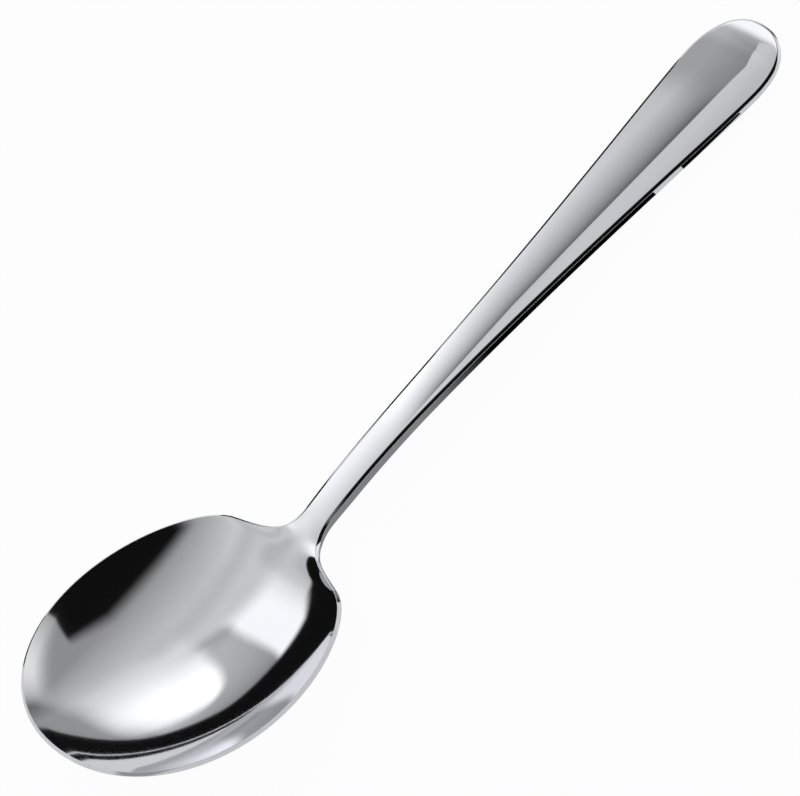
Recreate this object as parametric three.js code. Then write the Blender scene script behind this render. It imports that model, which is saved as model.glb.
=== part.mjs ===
// Serving spoon pressed from one stainless steel blank, lying face up on a table.
// Millimetres, +Z up. The handle points along +X and the spoon is alike on both sides of Y = 0.
// The bottom of the bowl and the underside of the handle's end touch the table at Z = 0.
import * as THREE from "three";
import { mergeVertices } from "three/addons/utils/BufferGeometryUtils.js";

// Plan outline, measured along X from the tip of the bowl
const LENGTH = 215;
const BOWL_WIDTH = 55;
const BOWL_WIDEST_AT = 33;
const TIP_ROUNDING = 16.2; // how far the outline runs straight across at the tip, to each side
const BOWL_SIDE_FRONT = 18.5; // how far the side runs straight in front of the widest place
const BOWL_SIDE_BACK = 14.5; // and behind it
const SHOULDER_AT = 62.5;
const SHOULDER_WIDTH = 29;
const SHOULDER_ANGLE = 71; // degrees that the shoulder turns in from the long axis
const SHOULDER_ROUNDING = 6.5;
const NECK_AT = 74;
const NECK_WIDTH = 6.4;
const NECK_FILLET = 8.6;
const NECK_REACH = 62; // how far the slim part of the handle carries on
const HANDLE_WIDTH = 19.6;
const HANDLE_SIDE = 12; // how far the handle's side runs straight before its widest place
const HANDLE_END = 13.5; // from the widest place to the end
const END_SIDE = 7.3; // how far the round end carries on along the handle
const END_ROUNDING = 6.9; // and across it

// Side profile: heights above the table
const TIP_HEIGHT = 21.8;
const RIM_FALL = 0.287; // slope of the rim behind the tip
const RIM_STRAIGHT = 36;
const HEEL_AT = 67.5;
const HEEL_HEIGHT = 4.4; // the lowest place of the edge, where the rim meets the neck
const HEEL_ROUNDING = 3;
const CREST_AT = 99;
const CREST_HEIGHT = 7.6; // the highest place of the handle's edge
const CREST_RISE = 26; // length of the rounded top of the rise, along the edges
const RIDGE_RISE = 36; // and along the middle
const HANDLE_BEND = 12; // length of the bends at the two ends of the handle's slope
const BOTTOM_AT = 50;
const TIP_WALL_SLOPE = 0.85;
const TIP_WALL = 16; // how far the floor of the bowl keeps that slope behind the tip
const BOTTOM_FRONT = 16; // how far the floor of the bowl runs level in front of its lowest place
const BOTTOM_BACK = 14; // and behind it

// Thickness and edges
const BOWL_SHEET = 1.35;
const NECK_WALL = 2.6; // upright part of the edge at the neck
const END_WALL = 1.55; // and at the end of the handle
const RIM_INSET = 1.0; // the inner edge of the bowl's rim lies inside and above the outer one
const RIM_RISE = 0.8;
const RIM_WALL = 0.15;
const EDGE_ROUND = 0.4; // rounding of the handle's edges
const CROWN_RADIUS = 70; // curve across the handle's upper face
const BOWL_FULLNESS = 0.15; // 0 gives a plain curve across the bowl, more gives steeper sides
const THICKENING_FROM = 57; // the sheet thickens towards the neck between these two places
const THICKENING_TO = 82;
const RIDGE_FROM = 69; // the floor of the bowl runs out into the crown of the handle between these
const RIDGE_TO = 75;

// Facets
const ACROSS = 16;
const STEPS_TIP = 14;
const STEPS_SIDE = 8;
const STEPS_SHOULDER = 10;
const STEPS_HANDLE = 18;
const STEPS_END = 10;
const HALVINGS = 40; // steps of the search for a place on a height line

const point = (x, y) => new THREE.Vector2(x, y);
const bend = (...points) => new THREE.CubicBezierCurve(...points);

const bowlHalf = BOWL_WIDTH / 2;
const handleHalf = HANDLE_WIDTH / 2;
const neckHalf = NECK_WIDTH / 2;
const handleWidestAt = LENGTH - HANDLE_END;
const endEdgeHeight = END_WALL + EDGE_ROUND;

// The outline of one side, from the tip of the bowl to the end of the handle.
function sideOutline() {
  const tip = point(0, 0);
  const widest = point(BOWL_WIDEST_AT, bowlHalf);
  const shoulder = point(SHOULDER_AT, SHOULDER_WIDTH / 2);
  const neck = point(NECK_AT, neckHalf);
  const wide = point(handleWidestAt, handleHalf);
  const end = point(LENGTH, 0);
  const turn = THREE.MathUtils.degToRad(-SHOULDER_ANGLE);
  const inwards = point(Math.cos(turn), Math.sin(turn)).multiplyScalar(SHOULDER_ROUNDING);
  const along = (from, distance) => point(from.x + distance, from.y);
  return {
    tip: bend(tip, point(0, TIP_ROUNDING), along(widest, -BOWL_SIDE_FRONT), widest),
    side: bend(widest, along(widest, BOWL_SIDE_BACK), shoulder.clone().sub(inwards), shoulder),
    shoulder: bend(shoulder, shoulder.clone().add(inwards), along(neck, -NECK_FILLET), neck),
    handle: bend(neck, along(neck, NECK_REACH), along(wide, -HANDLE_SIDE), wide),
    end: bend(wide, along(wide, END_SIDE), point(LENGTH, END_ROUNDING), end),
  };
}

// A height line in the XZ plane, made of curves that follow one another along X.
class HeightLine {
  constructor(...curves) {
    this.curves = curves;
  }
  at(x) {
    const curve = this.curves.find((c) => x <= c.v3.x) ?? this.curves.at(-1);
    let low = 0;
    let high = 1;
    for (let i = 0; i < HALVINGS; i++) {
      const middle = (low + high) / 2;
      if (curve.getPoint(middle).x < x) low = middle;
      else high = middle;
    }
    return curve.getPoint(low).y;
  }
}

// The line from the crest of the handle down to its level end, raised above the edge line.
function handleLine(raised) {
  const crest = CREST_HEIGHT + raised;
  const end = endEdgeHeight + raised;
  return bend(
    point(CREST_AT, crest),
    point(CREST_AT + HANDLE_BEND, crest),
    point(handleWidestAt - HANDLE_BEND, end),
    point(handleWidestAt, end),
  );
}

// Height of the outer edge: the rim falls to the heel, the neck rises to the crest, the handle comes down.
const edgeLine = new HeightLine(
  bend(
    point(0, TIP_HEIGHT),
    point(RIM_STRAIGHT, TIP_HEIGHT - RIM_STRAIGHT * RIM_FALL),
    point(HEEL_AT - HEEL_ROUNDING, HEEL_HEIGHT),
    point(HEEL_AT, HEEL_HEIGHT),
  ),
  bend(
    point(HEEL_AT, HEEL_HEIGHT),
    point(HEEL_AT + HEEL_ROUNDING, HEEL_HEIGHT),
    point(CREST_AT - CREST_RISE, CREST_HEIGHT),
    point(CREST_AT, CREST_HEIGHT),
  ),
  handleLine(0),
);

// Height of a face of the sheet along the middle: the floor of the bowl, then the crown of the handle.
function middleLine(tip, depth) {
  const crest = CREST_HEIGHT + EDGE_ROUND - depth;
  const floor = BOWL_SHEET - depth;
  return new HeightLine(
    bend(
      tip,
      point(tip.x + TIP_WALL, tip.y - TIP_WALL * TIP_WALL_SLOPE),
      point(BOTTOM_AT - BOTTOM_FRONT, floor),
      point(BOTTOM_AT, floor),
    ),
    bend(
      point(BOTTOM_AT, floor),
      point(BOTTOM_AT + BOTTOM_BACK, floor),
      point(CREST_AT - RIDGE_RISE, crest),
      point(CREST_AT, crest),
    ),
    handleLine(crest - CREST_HEIGHT),
  );
}
const upperMiddleLine = middleLine(point(RIM_INSET, TIP_HEIGHT + RIM_RISE), 0);
const lowerMiddleLine = middleLine(point(RIM_WALL, TIP_HEIGHT - 2 * RIM_WALL), BOWL_SHEET);

// One face of a section, as points from one side to the other. At the two tips it has no width left.
function face(place, edgeHeight, middleHeight, fullness) {
  const rise = place.y > 0 ? edgeHeight - middleHeight : 0;
  return Array.from({ length: ACROSS + 1 }, (_, i) => {
    const across = 1 - (2 * i) / ACROSS;
    const square = across * across;
    const fall = 1 - square * (1 - fullness + fullness * square);
    return new THREE.Vector3(place.x, place.y * across, edgeHeight - rise * fall);
  });
}

// The closed section at one place of the outline: upper face, edge, underside, edge.
function section(curve, t) {
  const { lerp, smoothstep } = THREE.MathUtils;
  const place = curve.getPoint(t);
  const along = curve.getTangent(t);
  const thick = smoothstep(place.x, THICKENING_FROM, THICKENING_TO);
  const taper = THREE.MathUtils.clamp((place.x - NECK_AT) / (handleWidestAt - NECK_AT), 0, 1);
  const handleWall = lerp(NECK_WALL, END_WALL, taper);
  const wall = lerp(RIM_WALL, handleWall, thick);
  const thickening = thick * (handleWall + 2 * EDGE_ROUND - BOWL_SHEET);
  const upperInset = lerp(RIM_INSET, EDGE_ROUND, thick);
  const lowerInset = lerp(RIM_WALL, EDGE_ROUND, thick);
  const edge = edgeLine.at(place.x);
  const upperEdge = edge + lerp(RIM_RISE, EDGE_ROUND, thick);
  const lowerEdge = edge - wall - lowerInset;

  const inset = (distance) =>
    point(place.x + along.y * distance, Math.max(0, place.y - along.x * distance));
  const upper = inset(upperInset);
  const lower = inset(lowerInset);
  const crown = upper.y ** 2 / (2 * CROWN_RADIUS);
  const ridge = smoothstep(place.x, RIDGE_FROM, RIDGE_TO);
  const upperMiddle = lerp(upperMiddleLine.at(upper.x), upperEdge + crown, ridge);
  const lowerMiddle = lowerMiddleLine.at(lower.x) - thickening;
  const fullness = lerp(BOWL_FULLNESS, 0, thick);

  const side = (sign, height) => new THREE.Vector3(place.x, sign * place.y, height);
  return [
    ...face(upper, upperEdge, upperMiddle, fullness),
    side(-1, edge),
    side(-1, edge - wall),
    ...face(lower, lowerEdge, lowerMiddle, fullness).reverse(),
    side(1, edge - wall),
    side(1, edge),
  ];
}

// Sections along one curve of the outline, the last one left for the next curve.
function sections(curve, steps) {
  return Array.from({ length: steps }, (_, i) => section(curve, i / steps));
}

// A closed solid through the sections. A flat end gets a cap, an end drawn to an edge closes itself.
function loft(rings) {
  const corners = [];
  const triangle = (a, b, c) => {
    if (a.equals(b) || b.equals(c) || c.equals(a)) return;
    corners.push(a, b, c);
  };
  const cap = (ring, outwards) => {
    const flat = ring.map((p) => point(p.y, p.z));
    if (Math.abs(THREE.ShapeUtils.area(flat)) === 0) return;
    for (const [a, b, c] of THREE.ShapeUtils.triangulateShape(flat, [])) {
      if (outwards > 0) triangle(ring[a], ring[b], ring[c]);
      else triangle(ring[a], ring[c], ring[b]);
    }
  };
  for (let i = 1; i < rings.length; i++) {
    const near = rings[i - 1];
    const far = rings[i];
    near.forEach((corner, j) => {
      const next = (j + 1) % near.length;
      triangle(corner, far[next], far[j]);
      triangle(corner, near[next], far[next]);
    });
  }
  cap(rings[0], -1);
  cap(rings.at(-1), 1);
  const geometry = mergeVertices(new THREE.BufferGeometry().setFromPoints(corners));
  geometry.computeVertexNormals();
  return geometry;
}

const outline = sideOutline();
const neckSection = section(outline.shoulder, 1);
const bowlSections = [
  ...sections(outline.tip, STEPS_TIP),
  ...sections(outline.side, STEPS_SIDE),
  ...sections(outline.shoulder, STEPS_SHOULDER),
  neckSection,
];
const handleSections = [
  neckSection,
  ...sections(outline.handle, STEPS_HANDLE).slice(1),
  ...sections(outline.end, STEPS_END),
  section(outline.end, 1),
];

function steelPart(name, rings) {
  const steel = new THREE.MeshStandardMaterial({ color: 0xc9cbce, roughness: 0.1, metalness: 1 });
  const mesh = new THREE.Mesh(loft(rings), steel);
  mesh.name = name;
  return mesh;
}

const spoon = new THREE.Group();
spoon.add(steelPart("bowl", bowlSections));
spoon.add(steelPart("handle", handleSections));
spoon.position.x = -LENGTH / 2;

export default spoon;
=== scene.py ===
import math

import bpy
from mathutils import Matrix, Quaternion, Vector


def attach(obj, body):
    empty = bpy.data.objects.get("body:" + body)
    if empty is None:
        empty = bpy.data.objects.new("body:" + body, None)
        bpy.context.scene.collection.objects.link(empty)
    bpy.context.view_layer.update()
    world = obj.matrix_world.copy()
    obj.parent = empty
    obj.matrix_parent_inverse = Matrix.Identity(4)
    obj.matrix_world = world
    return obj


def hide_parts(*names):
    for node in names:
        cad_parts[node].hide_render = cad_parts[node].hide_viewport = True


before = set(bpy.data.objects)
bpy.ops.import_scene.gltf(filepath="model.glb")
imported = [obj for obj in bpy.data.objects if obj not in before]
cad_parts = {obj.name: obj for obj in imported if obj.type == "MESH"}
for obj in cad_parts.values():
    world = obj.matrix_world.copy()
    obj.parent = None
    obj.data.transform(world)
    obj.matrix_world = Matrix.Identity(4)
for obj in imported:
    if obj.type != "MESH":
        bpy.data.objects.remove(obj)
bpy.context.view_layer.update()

MM = 0.001

# Camera
AIM = Vector((-3.8, 5.8, 2.0)) * MM
CAMERA_AZIMUTH = -25.45
CAMERA_ELEVATION = 58.82
CAMERA_ROLL = -26.18
CAMERA_DISTANCE = 1.0
CAMERA_LENS = 219.6

# Plan outline of the spoon in millimetres from the tip of the bowl
LENGTH = 215
BOWL_HALF = 27.5
BOWL_WIDEST_AT = 33
TIP_ROUNDING = 16.2
BOWL_SIDE_FRONT = 18.5
BOWL_SIDE_BACK = 14.5
SHOULDER_AT = 62.5
SHOULDER_HALF = 14.5
SHOULDER_ANGLE = 71
SHOULDER_ROUNDING = 6.5
NECK_AT = 74
NECK_HALF = 3.2
NECK_FILLET = 8.6
NECK_REACH = 62
HANDLE_HALF = 9.8
HANDLE_WIDEST_AT = 201.5
HANDLE_SIDE = 12
END_SIDE = 7.3
END_ROUNDING = 6.9

# Heights above the table
TIP_HEIGHT = 21.8
RIM_FALL = 0.287
RIM_STRAIGHT = 36
HEEL_AT = 67.5
HEEL_HEIGHT = 4.4
HEEL_ROUNDING = 3
CREST_AT = 99
CREST_HEIGHT = 7.6
CREST_RISE = 26
RIDGE_RISE = 36
HANDLE_BEND = 12
END_BEND = 3
END_LEVEL_FROM = 209
END_HEIGHT = 1.95
BOTTOM_AT = 50
TIP_WALL_SLOPE = 0.85
TIP_WALL = 16
BOTTOM_FRONT = 16
BOTTOM_BACK = 14

# Sheet and edges
BOWL_SHEET = 1.35
NECK_WALL = 2.6
END_WALL = 1.55
RIM_INSET = 0.6
RIM_RISE = 0.75
RIM_WALL = 0.15
EDGE_ROUND = 0.4
EDGE_INSET = 0.65
EDGE_DROP = 0.43
CROWN_RADIUS = 70
BOWL_FULLNESS = 0.15
THICKENING = (57, 82)
RIDGE = (69, 75)

# Steel
STEEL_COLOUR = (0.7, 0.704, 0.732)
STEEL_SMUDGE = (0.67, 0.675, 0.705)
BOWL_ENDS = (68, 92)
BOWL_ROUGHNESS = 0.055
HANDLE_ROUGHNESS = 0.04
ROUGHNESS_SPREAD = 0.02
GRAIN_LENGTH = 30
GRAIN_WIDTH = 0.3
GRAIN_DEPTH = 0.0006
GRAIN_DETAIL = 2.0
SMUDGE_SIZE = 9
SMUDGE_DETAIL = 4.0
SMUDGE_MIDDLE = 0.5

# Floor
ROOM_SIZE = 240
WHITE = (1, 1, 1, 1)
FLOOR_COLOUR = 0.9
FLOOR_WHITE = 0.96
FLOOR_WHITE_IN_STEEL = 0.65

# Ceiling, in ceiling heights along and across the spoon
CEILING_HEIGHT = 1.2
STEEL_SHARE = 0.8
PLAIN_LEVEL = 1.0
NEAR_LEVEL = 0.47
PLAIN_SLANT = 0.34
PLAIN_RISE = (-0.6, 0.05)
HEEL_DARK = 0.2
HEEL_START = (-1.6, -0.5)
HEEL_END = (-0.43, -0.27)
HEEL_ACROSS = (0.2, 0.38)
FOLD_DARK = 0.15
FOLD_AT = 0.1
FOLD_SLANT = 0.27
FOLD_HALF = 0.17
FOLD_END = (0.9, 1.3)
FRONT_DARK = 0.5
FRONT_DARK_FROM = (2.4, 4.6)
FRONT_DARK_ACROSS = (0.4, 1.3)
BACK_LEVEL = 0.95
BACK_EDGE = (-3.2, -2.9)
TIP_LEVEL = 1.4
TIP_SLANT = 1.14
TIP_RISE = (2.2, 3.2)
TIP_FADE = (-0.5, 1.3)
GAP_EDGE = (0.43, 0.6)
GAP_DARK = 0.5
GAP_LEVEL = 0.78
GAP_RISE = (0.4, 0.75)
GAP_FADE = 0.42
GAP_FADE_ACROSS = (0.24, 1.93)
GAP_START = (0.2, 0.4)
GAP_STOP = (0.0, 0.6)
PANEL_LEVEL = 1.69
PANEL_EDGE = (0.37, 0.64)
PANEL_START = (-0.62, 0.04)
PANEL_CURVE = 0.06
PANEL_END = (0.28, 0.43)
GLOW_LEVEL = 2.1
GLOW_BOW = 0.1
GLOW_RISE = (0.07, 1.21)
GLOW_CURVE = 0.194
GLOW_START = (0.54, 0.74)
GLOW_SLANT = 0.588
GLOW_TOP = (0.95, 1.8)
GLOW_FADE = (1.5, 6.0)
FAR_SLANT = 0.986
FAR_BEND = 0.6
FAR_EDGE = (1.62, 2.0)
FAR_FROM = (1.12, 1.28)
FLAG_START = (-5.0, -3.0)
FLAG_LEVEL = 0.008
FRONT_SLANT = 0.276
FRONT_EDGE = (3.2, 4.1)
FRONT_DROP = 4.0
FRONT_DROP_FROM = (6.0, 10.5)
NEAR_SLANT = 0.302
NEAR_SLANT_TO = 0.9
NEAR_EDGE = (-0.7, -0.47)
NEAR_START = (-0.25, 0.0)
NEAR_END = (1.51, 1.57)

# Dark card beside the handle, in millimetres
CARD_HEIGHT = 20
CARD_ALONG = (-13, 123)
CARD_ACROSS = (-10, 32)
CARD_START = (-12, 8)
CARD_END = (121, 122)
CARD_EDGE = 4.4
CARD_EDGE_SOFT = 0.2
CARD_NECK_SLANT = 0.045
CARD_NECK_TO = 30
CARD_END_SLANT = 0.016
CARD_END_FROM = 49
CARD_CUT = 2.7
CARD_CUT_FROM = (106, 112)
CARD_TIP_DROP = 13
CARD_TIP_DROP_FROM = (112.5, 115.5)
CARD_WIDTH = 13.5
CARD_CURVE = 0.6
CARD_DARK = 0.1
CARD_LIGHT = 0.8
CARD_NECK_LIGHT = 1.6
CARD_FADE = 0.9718
CARD_FADE_FROM = 9
CARD_FLAT = (88, 100)
CARD_FLAT_DARK = 0.42
CARD_FLAT_LIGHT = 0.2
CARD_TIP = (108, 116)
CARD_TIP_LIGHT = 0.35
CARD_WHITE = (112.5, 116)
CARD_WHITE_LEVEL = 1.7

# Black strips on the floor, seen only in the steel, in millimetres: start, stop, side, near
# edge,
# far edge at the start and at the stop. The strips on the right (side -1) are painted shade:
# they stand in for the floor's shadow beside the handle. The strips on the left are black
# flags.
STRIP_HEIGHT = 0.3
STRIP_STEPS = 40
# Grey of the painted shade beside the neck, and where along the spoon it fades to black
PAINTED_SHADE_GREY = 0.3
PAINTED_SHADE_FADE = (100, 124)
FLAGS_AND_PAINTED_SHADE = (
    (60, 171, -1, 0.8, 15, 15),
    (179, 196, -1, 0.8, 15, 15),
    (66, 132, 1, 15, 50, 99),
    (132, 205, 1, 15, 58, 58),
    (1, 24, 1, 5, 30, 30),
)

# Black far end of the table, in metres
FAR_TABLE_ALONG = (-0.3, 100)
FAR_TABLE_ACROSS = (0.28, 100)

# Mesh of the spoon
COLUMNS = {"tip": 40, "side": 24, "shoulder": 36, "handle": 70, "end": 30}
ROWS_ACROSS = 20
SPINE_START = 30
SPINE_JOINS = 60
SPINE_END = 206
SPINE_LEAVES = 185
MERGE_DISTANCE = 0.002
SPECK_SIZE = 0.001
NO_WIDTH = 1e-6
BEVEL_WIDTH = 0.14
BEVEL_ANGLE = 22
BEVEL_SEGMENTS = 3
FACE_WEIGHT = 100
FACE_ALIKE = 0.01
HALVINGS = 40


def mix(a, b, share):
    return a + (b - a) * share


def clamp(value, low=0.0, high=1.0):
    return max(low, min(high, value))


def smooth_step(value, low, high):
    share = clamp((value - low) / (high - low))
    return share * share * (3 - 2 * share)


class Bend:
    """A cubic curve in a plane through two ends and two handles."""

    def __init__(self, *points):
        self.points = points

    def at(self, t):
        a, b, c, d = self.points
        s = 1 - t
        weights = (s * s * s, 3 * s * s * t, 3 * s * t * t, t * t * t)
        return tuple(sum(w * p[i] for w, p in zip(weights, (a, b, c, d))) for i in (0, 1))

    def along(self, t):
        a, b, c, d = self.points
        s = 1 - t
        weights = (s * s, 2 * s * t, t * t)
        steps = [(q[0] - p[0], q[1] - p[1]) for p, q in ((a, b), (b, c), (c, d))]
        run = [sum(w * p[i] for w, p in zip(weights, steps)) for i in (0, 1)]
        length = math.hypot(*run)
        return run[0] / length, run[1] / length


def halve(reached):
    """The place from 0 to 1 where reached turns true."""
    low, high = 0.0, 1.0
    for _ in range(HALVINGS):
        middle = (low + high) / 2
        if reached(middle):
            high = middle
        else:
            low = middle
    return (low + high) / 2


class HeightLine:
    """Heights along the spoon, from bends that follow one another."""

    def __init__(self, *bends):
        self.bends = bends

    def at(self, x):
        bend = next((b for b in self.bends if x <= b.points[3][0]), self.bends[-1])
        return bend.at(halve(lambda t: bend.at(t)[0] >= x))[1]


turn = math.radians(SHOULDER_ANGLE)
inwards = (math.cos(turn) * SHOULDER_ROUNDING, -math.sin(turn) * SHOULDER_ROUNDING)
widest = (BOWL_WIDEST_AT, BOWL_HALF)
shoulder = (SHOULDER_AT, SHOULDER_HALF)
neck = (NECK_AT, NECK_HALF)
wide = (HANDLE_WIDEST_AT, HANDLE_HALF)
OUTLINE = {
    "tip": Bend(
        (0, 0),
        (0, TIP_ROUNDING),
        (BOWL_WIDEST_AT - BOWL_SIDE_FRONT, BOWL_HALF),
        widest,
    ),
    "side": Bend(
        widest,
        (BOWL_WIDEST_AT + BOWL_SIDE_BACK, BOWL_HALF),
        (SHOULDER_AT - inwards[0], SHOULDER_HALF - inwards[1]),
        shoulder,
    ),
    "shoulder": Bend(
        shoulder,
        (SHOULDER_AT + inwards[0], SHOULDER_HALF + inwards[1]),
        (NECK_AT - NECK_FILLET, NECK_HALF),
        neck,
    ),
    "handle": Bend(
        neck,
        (NECK_AT + NECK_REACH, NECK_HALF),
        (HANDLE_WIDEST_AT - HANDLE_SIDE, HANDLE_HALF),
        wide,
    ),
    "end": Bend(
        wide,
        (HANDLE_WIDEST_AT + END_SIDE, HANDLE_HALF),
        (LENGTH, END_ROUNDING),
        (LENGTH, 0),
    ),
}


def handle_line(raised):
    """The heights of the handle from its crest to its end."""
    crest = CREST_HEIGHT + raised
    end = END_HEIGHT + raised
    return Bend(
        (CREST_AT, crest),
        (CREST_AT + HANDLE_BEND, crest),
        (END_LEVEL_FROM - END_BEND, end),
        (END_LEVEL_FROM, end),
    )


def middle_line(tip, depth):
    """The heights along the middle, from the tip over the floor of the bowl to the end."""
    crest = CREST_HEIGHT + EDGE_ROUND - depth
    floor = BOWL_SHEET - depth
    return HeightLine(
        Bend(
            tip,
            (tip[0] + TIP_WALL, tip[1] - TIP_WALL * TIP_WALL_SLOPE),
            (BOTTOM_AT - BOTTOM_FRONT, floor),
            (BOTTOM_AT, floor),
        ),
        Bend(
            (BOTTOM_AT, floor),
            (BOTTOM_AT + BOTTOM_BACK, floor),
            (CREST_AT - RIDGE_RISE, crest),
            (CREST_AT, crest),
        ),
        handle_line(crest - CREST_HEIGHT),
    )


EDGE_LINE = HeightLine(
    Bend(
        (0, TIP_HEIGHT),
        (RIM_STRAIGHT, TIP_HEIGHT - RIM_STRAIGHT * RIM_FALL),
        (HEEL_AT - HEEL_ROUNDING, HEEL_HEIGHT),
        (HEEL_AT, HEEL_HEIGHT),
    ),
    Bend(
        (HEEL_AT, HEEL_HEIGHT),
        (HEEL_AT + HEEL_ROUNDING, HEEL_HEIGHT),
        (CREST_AT - CREST_RISE, CREST_HEIGHT),
        (CREST_AT, CREST_HEIGHT),
    ),
    handle_line(0),
)
UPPER_LINE = middle_line((RIM_INSET, TIP_HEIGHT + RIM_RISE), 0)
LOWER_LINE = middle_line((RIM_WALL, TIP_HEIGHT - 2 * RIM_WALL), BOWL_SHEET)
INSETS = {"upper": (RIM_INSET, EDGE_INSET), "lower": (RIM_WALL, EDGE_ROUND)}


def thickness_share(x):
    """0 in the bowl's thin sheet, 1 in the handle."""
    return smooth_step(x, *THICKENING)


def drawn_in(part, t, name):
    """A point of the outline, drawn in by the width of the rounded edge."""
    bend = OUTLINE[part]
    x, half = bend.at(t)
    run = bend.along(t)
    inset = mix(*INSETS[name], thickness_share(x))
    return x + run[1] * inset, max(0.0, half - run[0] * inset)


class Place:
    """The sizes of the spoon's section at one place of its outline."""

    def __init__(self, part, t):
        self.x, self.half = OUTLINE[part].at(t)
        thick = thickness_share(self.x)
        taper = clamp((self.x - NECK_AT) / (HANDLE_WIDEST_AT - NECK_AT))
        handle_wall = mix(NECK_WALL, END_WALL, taper)
        lift = thick * (EDGE_ROUND - EDGE_DROP)
        self.wall = mix(RIM_WALL, handle_wall, thick) + lift
        self.edge = EDGE_LINE.at(self.x) + lift
        upper = drawn_in(part, t, "upper")
        upper_edge = self.edge + mix(RIM_RISE, EDGE_DROP, thick)
        crown = upper[1] ** 2 / (2 * CROWN_RADIUS)
        ridge = smooth_step(self.x, *RIDGE)
        upper_middle = mix(UPPER_LINE.at(upper[0]), upper_edge + crown, ridge)
        lower = drawn_in(part, t, "lower")
        lower_edge = self.edge - self.wall - mix(RIM_WALL, EDGE_ROUND, thick)
        thickening = thick * (handle_wall + 2 * EDGE_ROUND - BOWL_SHEET)
        lower_middle = LOWER_LINE.at(lower[0]) - thickening
        self.faces = {
            "upper": (upper, upper_edge, upper_middle),
            "lower": (lower, lower_edge, lower_middle),
        }
        self.fullness = mix(BOWL_FULLNESS, 0.0, thick)


def place_at(name, x):
    """The place of the outline where a face's own edge reaches x."""
    for part in OUTLINE:
        if drawn_in(part, 1.0, name)[0] >= x:
            return Place(part, halve(lambda t: drawn_in(part, t, name)[0] >= x))
    return Place("end", 1.0)


def spine(x):
    """Where along the middle a column of the mesh starts, drawn in from the two ends."""
    if x < SPINE_JOINS:
        return mix(SPINE_START, SPINE_JOINS, x / SPINE_JOINS)
    if x > SPINE_LEAVES:
        return mix(SPINE_LEAVES, SPINE_END, (x - SPINE_LEAVES) / (LENGTH - SPINE_LEAVES))
    return x


def face_point(name, place, across):
    """A point of the upper or lower face, from 0 in the middle to 1 at the edge."""
    (rim_x, rim_half), _, _ = place.faces[name]
    x = mix(spine(rim_x), rim_x, across)
    y = across * rim_half
    here = place if x == rim_x else place_at(name, x)
    (_, half), edge, middle = here.faces[name]
    if half < NO_WIDTH:
        return Vector((x, y, edge))
    square = min(1.0, y / half) ** 2
    fall = 1 - square * (1 - here.fullness + here.fullness * square)
    return Vector((x, y, edge - (edge - middle) * fall))


def section(place):
    """The closed section of the spoon: upper face, edge, lower face, edge."""
    steps = [i / ROWS_ACROSS for i in range(ROWS_ACROSS + 1)]
    upper = [face_point("upper", place, s) for s in steps]
    lower = [face_point("lower", place, s) for s in steps]
    wall = [Vector((place.x, place.half, place.edge - down)) for down in (0, place.wall)]
    half = [*upper, *wall, *reversed(lower)]
    other = [Vector((p.x, -p.y, p.z)) for p in half]
    return [*half, *reversed(other)]


def make_spoon():
    """One closed grid laid on the sections, with its edges rounded."""
    stations = [Place(part, i / n) for part, n in COLUMNS.items() for i in range(n)]
    stations.append(Place("end", 1.0))
    rows = [section(place) for place in stations]
    bpy.ops.object.select_all(action="DESELECT")
    bpy.ops.mesh.primitive_grid_add(
        x_subdivisions=len(rows) - 1,
        y_subdivisions=len(rows[0]) - 1,
    )
    spoon = bpy.context.object
    spoon.name = "spoon"
    middle = Vector((LENGTH / 2, 0, 0))
    points = [row[j] for j in range(len(rows[0])) for row in rows]
    for vertex, point in zip(spoon.data.vertices, points):
        vertex.co = (point - middle) * MM
    bpy.ops.object.mode_set(mode="EDIT")
    bpy.ops.mesh.select_all(action="SELECT")
    bpy.ops.mesh.remove_doubles(threshold=MERGE_DISTANCE * MM)
    bpy.ops.mesh.dissolve_degenerate(threshold=SPECK_SIZE * MM)
    bpy.ops.mesh.normals_make_consistent(inside=False)
    bpy.ops.object.mode_set(mode="OBJECT")
    bevel = spoon.modifiers.new("edges", "BEVEL")
    bevel.limit_method = "ANGLE"
    bevel.angle_limit = math.radians(BEVEL_ANGLE)
    bevel.width = BEVEL_WIDTH * MM
    bevel.segments = BEVEL_SEGMENTS
    bpy.ops.object.modifier_apply(modifier="edges")
    weighted = spoon.modifiers.new("faces", "WEIGHTED_NORMAL")
    weighted.weight = FACE_WEIGHT
    weighted.thresh = FACE_ALIKE
    bpy.ops.object.shade_smooth()
    bpy.ops.object.modifier_apply(modifier="faces")
    return spoon


class Value:
    """A shader socket, with sums and products that add their own Math nodes."""

    def __init__(self, tree, socket=None):
        self.tree = tree
        self.socket = socket

    def node(self, kind, settings, inputs, output=0):
        """Any node: its settings first, then the values or links of its sockets."""
        node = self.tree.nodes.new(kind)
        for name, setting in settings.items():
            setattr(node, name, setting)
        for name, value in inputs.items():
            if isinstance(value, Value):
                self.tree.links.new(value.socket, node.inputs[name])
            else:
                node.inputs[name].default_value = value
        return Value(self.tree, node.outputs[output])

    def math(self, operation, first, second):
        return self.node("ShaderNodeMath", {"operation": operation}, {0: first, 1: second})

    def __add__(self, other):
        return self.math("ADD", self, other)

    __radd__ = __add__

    def __sub__(self, other):
        return self.math("SUBTRACT", self, other)

    def __rsub__(self, other):
        return self.math("SUBTRACT", other, self)

    def __mul__(self, other):
        return self.math("MULTIPLY", self, other)

    __rmul__ = __mul__

    def __truediv__(self, other):
        return self.math("DIVIDE", self, other)

    def rise(self, low, high, shape="SMOOTHSTEP"):
        """0 up to low and 1 from high on."""
        return self.node(
            "ShaderNodeMapRange",
            {"interpolation_type": shape},
            {"Value": self, "From Min": low, "From Max": high},
        )

    def split(self):
        """The three parts of a vector."""
        return [self.node("ShaderNodeSeparateXYZ", {}, {0: self}, i) for i in range(3)]


def new_material(name):
    """A new material, and a blank value that adds nodes to it."""
    material = bpy.data.materials.new(name)
    material.use_nodes = True
    return material, Value(material.node_tree)


def plain_shader(material):
    """The shader that a new material starts with."""
    return material.node_tree.nodes["Principled BSDF"]


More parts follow.
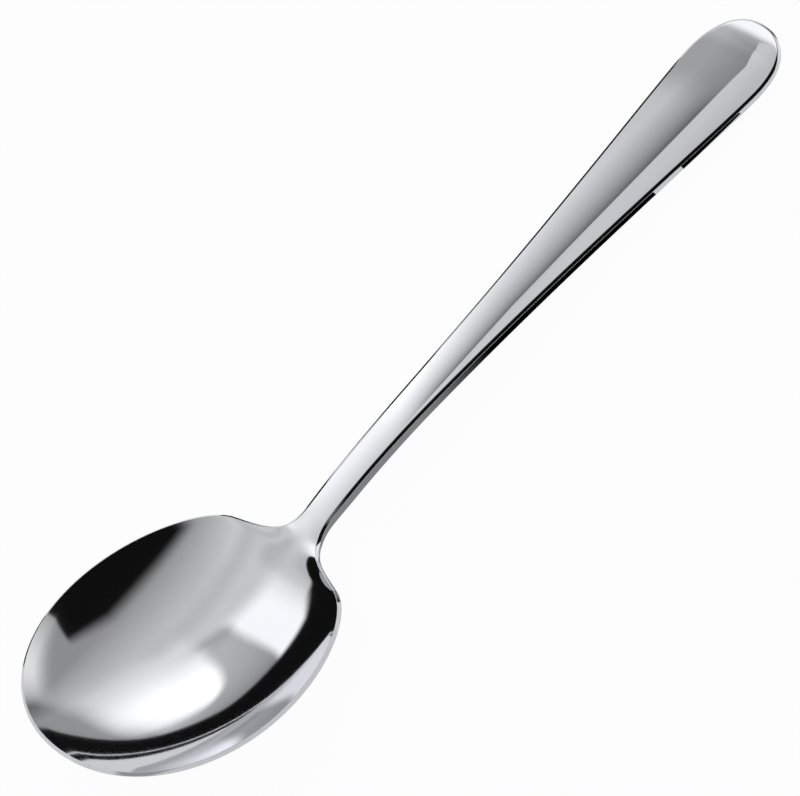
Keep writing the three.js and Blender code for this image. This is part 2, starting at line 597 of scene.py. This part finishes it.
def show(material, surface):
    """Puts a finished shader on the material's surface."""
    end = material.node_tree.nodes["Material Output"].inputs["Surface"]
    material.node_tree.links.new(surface.socket, end)


def glow(level):
    """A shader that glows in an even grey."""
    colour = level.node("ShaderNodeCombineColor", {}, {0: level, 1: level, 2: level})
    return level.node("ShaderNodeEmission", {}, {"Color": colour})


def show_glow(material, surface):
    """Puts a glowing shader on the material in place of its plain one."""
    material.node_tree.nodes.remove(plain_shader(material))
    show(material, surface)
    material.cycles.emission_sampling = "NONE"


def polished_steel():
    """Mirror polish with faint smudges, and a fine grain drawn along the bowl."""
    material, blank = new_material("polished_steel")
    shader = plain_shader(material)
    place = blank.node("ShaderNodeTexCoord", {}, {}, "Object")
    along, across, _ = place.split()
    bowl = 1 - (along / MM + LENGTH / 2).rise(*BOWL_ENDS)
    drawn = blank.node(
        "ShaderNodeCombineXYZ",
        {},
        {0: along / (GRAIN_LENGTH * MM), 1: across / (GRAIN_WIDTH * MM)},
    )
    grain = blank.node(
        "ShaderNodeTexNoise",
        {},
        {"Vector": drawn, "Scale": 1.0, "Detail": GRAIN_DETAIL},
    )
    smudge = blank.node(
        "ShaderNodeTexNoise",
        {},
        {"Vector": place, "Scale": 1 / (SMUDGE_SIZE * MM), "Detail": SMUDGE_DETAIL},
    )
    colour = blank.node(
        "ShaderNodeMix",
        {"data_type": "RGBA"},
        {"Factor": smudge, "A": (*STEEL_COLOUR, 1), "B": (*STEEL_SMUDGE, 1)},
        "Result",
    )
    rough = HANDLE_ROUGHNESS + (BOWL_ROUGHNESS - HANDLE_ROUGHNESS) * bowl
    rough = rough + ROUGHNESS_SPREAD * (smudge - SMUDGE_MIDDLE)
    bump = blank.node(
        "ShaderNodeBump",
        {},
        {"Height": grain * bowl, "Strength": 1.0, "Distance": GRAIN_DEPTH * MM},
    )
    shader.inputs["Metallic"].default_value = 1.0
    for name, value in {"Base Color": colour, "Roughness": rough, "Normal": bump}.items():
        material.node_tree.links.new(value.socket, shader.inputs[name])
    return material


def white_floor():
    """White to the camera and in reflections, with a share of the shaded floor."""
    material, blank = new_material("white_floor")
    shader = plain_shader(material)
    shader.inputs["Base Color"].default_value = (FLOOR_COLOUR, FLOOR_COLOUR, FLOOR_COLOUR, 1)
    shader.inputs["Roughness"].default_value = 1.0
    shader.inputs["Specular IOR Level"].default_value = 0.0
    camera, steel, glass = (
        blank.node("ShaderNodeLightPath", {}, {}, name)
        for name in ("Is Camera Ray", "Is Glossy Ray", "Is Transmission Ray")
    )
    seen = FLOOR_WHITE * camera + FLOOR_WHITE_IN_STEEL * (steel + glass)
    white = blank.node("ShaderNodeEmission", {}, {"Color": WHITE})
    shaded = Value(material.node_tree, shader.outputs[0])
    show(material, blank.node("ShaderNodeMixShader", {}, {0: seen, 1: shaded, 2: white}))
    return material


def ceiling_light():
    """A softly lit ceiling with a white panel, a soft glow and three black flags.

    Places on it are counted in ceiling heights, along and across the spoon.
    """
    material, blank = new_material("ceiling_light")
    place = blank.node("ShaderNodeTexCoord", {}, {}, "Object")
    place = blank.node(
        "ShaderNodeVectorMath",
        {"operation": "SCALE"},
        {0: place, "Scale": 1 / CEILING_HEIGHT},
    )
    along, across, _ = place.split()
    plain = (across - PLAIN_SLANT * along).rise(*PLAIN_RISE, "LINEAR")
    level = NEAR_LEVEL + (PLAIN_LEVEL - NEAR_LEVEL) * plain
    heel = along.rise(*HEEL_START) * (1 - along.rise(*HEEL_END)) * across.rise(*HEEL_ACROSS)
    level = level - HEEL_DARK * heel
    fold = across - FOLD_AT - FOLD_SLANT * along.math("MAXIMUM", along, 0.0)
    fold = 1 - fold.math("ABSOLUTE", fold, 0.0).rise(0.0, FOLD_HALF)
    level = level - FOLD_DARK * fold * (1 - along.rise(*FOLD_END))
    front = along.rise(*FRONT_DARK_FROM) * across.rise(*FRONT_DARK_ACROSS)
    level = level * (1 - FRONT_DARK * front)
    tip = (along - TIP_SLANT * across).rise(*TIP_RISE) * (1 - across.rise(*TIP_FADE))
    level = level + (TIP_LEVEL - level) * tip
    gap = GAP_DARK + (GAP_LEVEL - GAP_DARK) * across.rise(*GAP_RISE, "LINEAR")
    gap = gap - GAP_FADE * (across - along).rise(*GAP_FADE_ACROSS, "LINEAR")
    shown = across.rise(*GAP_EDGE) * along.rise(*GAP_START)
    shown = shown * (1 - (along - across).rise(*GAP_STOP))
    level = level + (gap - level) * shown
    panel = across.rise(*PANEL_EDGE) * along.rise(*PANEL_START)
    panel = panel * (1 - (along - PANEL_CURVE * across * across).rise(*PANEL_END))
    level = level + (PANEL_LEVEL - level) * panel
    soft = (across - GLOW_BOW * along * along).rise(*GLOW_RISE)
    soft = soft * (along - GLOW_CURVE * across * across).rise(*GLOW_START)
    soft = soft * (1 - (across - GLOW_SLANT * along).rise(*GLOW_TOP))
    soft = soft * (1 - along.rise(*GLOW_FADE, "LINEAR"))
    level = level + (GLOW_LEVEL - level) * soft
    bent = FAR_BEND * along.math("MINIMUM", along, 0.0)
    far = (across - FAR_SLANT * along - bent).rise(*FAR_EDGE)
    far = far * across.rise(*FAR_FROM) * along.rise(*FLAG_START)
    level = level * (1 - far)
    dropped = FRONT_DROP * along.rise(*FRONT_DROP_FROM, "LINEAR")
    front = (across - FRONT_SLANT * along + dropped).rise(*FRONT_EDGE)
    level = level * (1 - front * along.rise(*FLAG_START))
    edge = NEAR_SLANT * NEAR_SLANT_TO * along.rise(0.0, NEAR_SLANT_TO, "LINEAR")
    near = 1 - (across - edge).rise(*NEAR_EDGE)
    near = near * along.rise(*NEAR_START) * (1 - along.rise(*NEAR_END))
    level = level * (1 - near) + FLAG_LEVEL
    level = BACK_LEVEL + (level - BACK_LEVEL) * across.rise(*BACK_EDGE)
    show_glow(material, glow(level * STEEL_SHARE))
    return material


def dark_card():
    """A card that is dark along its near edge and thins out at its two ends."""
    material, blank = new_material("dark_card")
    along, across, _ = blank.node("ShaderNodeTexCoord", {}, {}, "Object").split()
    along = along / MM
    across = across / MM
    edge = CARD_EDGE - CARD_NECK_SLANT * along.math("MAXIMUM", CARD_NECK_TO - along, 0.0)
    edge = edge - CARD_END_SLANT * along.math("MAXIMUM", along - CARD_END_FROM, 0.0)
    edge = edge + CARD_CUT * along.rise(*CARD_CUT_FROM, "LINEAR")
    edge = edge - CARD_TIP_DROP * along.rise(*CARD_TIP_DROP_FROM)
    width = ((across - edge) / CARD_WIDTH).rise(0.0, 1.0, "LINEAR")
    fade = blank.math("POWER", CARD_FADE, along - CARD_FADE_FROM)
    light = CARD_LIGHT + CARD_NECK_LIGHT * fade
    level = CARD_DARK + (light - CARD_DARK) * width.math("POWER", width, CARD_CURVE)
    flat = CARD_FLAT_DARK + CARD_FLAT_LIGHT * width + CARD_TIP_LIGHT * along.rise(*CARD_TIP)
    level = level + (flat - level) * along.rise(*CARD_FLAT)
    level = level + (CARD_WHITE_LEVEL - level) * along.rise(*CARD_WHITE)
    lit = glow(level * STEEL_SHARE)
    clear = blank.node("ShaderNodeBsdfTransparent", {}, {})
    share = along.rise(*CARD_START) * (1 - along.rise(*CARD_END))
    share = share * (across - edge).rise(0.0, CARD_EDGE_SOFT)
    show_glow(material, blank.node("ShaderNodeMixShader", {}, {0: share, 1: clear, 2: lit}))
    return material


def black_flag_and_painted_shade():
    """Black, with a grey start beside the neck on the right of the spoon. On the right it is
    painted shade of the floor beside the handle, lighter beside the neck; elsewhere it is
    plain black, for the flags on the left and the far end of the table.
    """
    material, blank = new_material("black_flag_and_painted_shade")
    along, across, _ = blank.node("ShaderNodeTexCoord", {}, {}, "Object").split()
    level = PAINTED_SHADE_GREY * (1 - (along / MM + LENGTH / 2).rise(*PAINTED_SHADE_FADE))
    show_glow(material, glow(level * (1 - across.rise(0.0, MM))))
    return material


def new_plane(name, material, size=1.0, height=0.0):
    """A level plane of one material."""
    bpy.ops.object.select_all(action="DESELECT")
    bpy.ops.mesh.primitive_plane_add(size=size, location=(0, 0, height))
    plane = bpy.context.object
    plane.name = name
    plane.data.materials.append(material)
    return plane


def stage_card(card):
    """Hides a card from the camera, from diffuse rays and from shadows, so that it is seen
    only in the steel.
    """
    card.visible_camera = False
    card.visible_diffuse = False
    card.visible_shadow = False


def spread(plane, along, across, height):
    """Moves the corners of a plane to its two ends and two sides."""
    corners = [(x, y, height) for y in across for x in along]
    for vertex, corner in zip(plane.data.vertices, corners):
        vertex.co = corner


def lay_strip(material, start, stop, side, near, far_start, far_stop):
    """A strip on the floor that follows one side of the spoon. On the right side it is
    painted shade of the floor beside the handle; on the left it is a black flag.
    """
    bpy.ops.object.select_all(action="DESELECT")
    bpy.ops.mesh.primitive_grid_add(x_subdivisions=STRIP_STEPS, y_subdivisions=1)
    strip = bpy.context.object
    strip.name = "black_flag_and_painted_shade"
    strip.data.materials.append(material)
    count = STRIP_STEPS + 1
    for i in range(count):
        share = i / STRIP_STEPS
        place = place_at("lower", mix(start, stop, share))
        for row, out in enumerate((near, mix(far_start, far_stop, share))):
            corner = Vector((place.x - LENGTH / 2, side * (place.half + out), STRIP_HEIGHT))
            strip.data.vertices[row * count + i].co = corner * MM
    stage_card(strip)


spoon = make_spoon()
spoon.data.materials.clear()
spoon.data.materials.append(polished_steel())
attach(spoon, "root")
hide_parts("bowl", "handle")

# Floor and ceiling
new_plane("floor", white_floor(), ROOM_SIZE)
ceiling = new_plane("ceiling", ceiling_light(), ROOM_SIZE, CEILING_HEIGHT)
ceiling.visible_camera = False

# Dark card, black strips and the far end of the table; the strips on the right of the handle
# are painted shade
card = new_plane("dark_card", dark_card())
spread(card, [x * MM for x in CARD_ALONG], [y * MM for y in CARD_ACROSS], CARD_HEIGHT * MM)
stage_card(card)
black = black_flag_and_painted_shade()
for strip_place in FLAGS_AND_PAINTED_SHADE:
    lay_strip(black, *strip_place)
far_table = new_plane("far_table", black)
spread(far_table, FAR_TABLE_ALONG, FAR_TABLE_ACROSS, STRIP_HEIGHT * MM)
stage_card(far_table)

# Camera
azimuth = math.radians(CAMERA_AZIMUTH)
elevation = math.radians(CAMERA_ELEVATION)
back = Vector(
    (
        math.sin(azimuth) * math.cos(elevation),
        -math.cos(azimuth) * math.cos(elevation),
        math.sin(elevation),
    )
)
camera = bpy.data.objects.new("camera", bpy.data.cameras.new("camera"))
bpy.context.collection.objects.link(camera)
camera.rotation_mode = "QUATERNION"
camera.location = AIM + back * CAMERA_DISTANCE
roll = Quaternion((0, 0, 1), math.radians(CAMERA_ROLL))
camera.rotation_quaternion = back.to_track_quat("Z", "Y") @ roll
camera.data.lens = CAMERA_LENS
bpy.context.scene.camera = camera

world = bpy.data.worlds.new("studio")
bpy.context.scene.world = world
world.use_nodes = True
world.node_tree.nodes["Background"].inputs["Color"].default_value = WHITE

bpy.context.scene.view_settings.view_transform = "Standard"
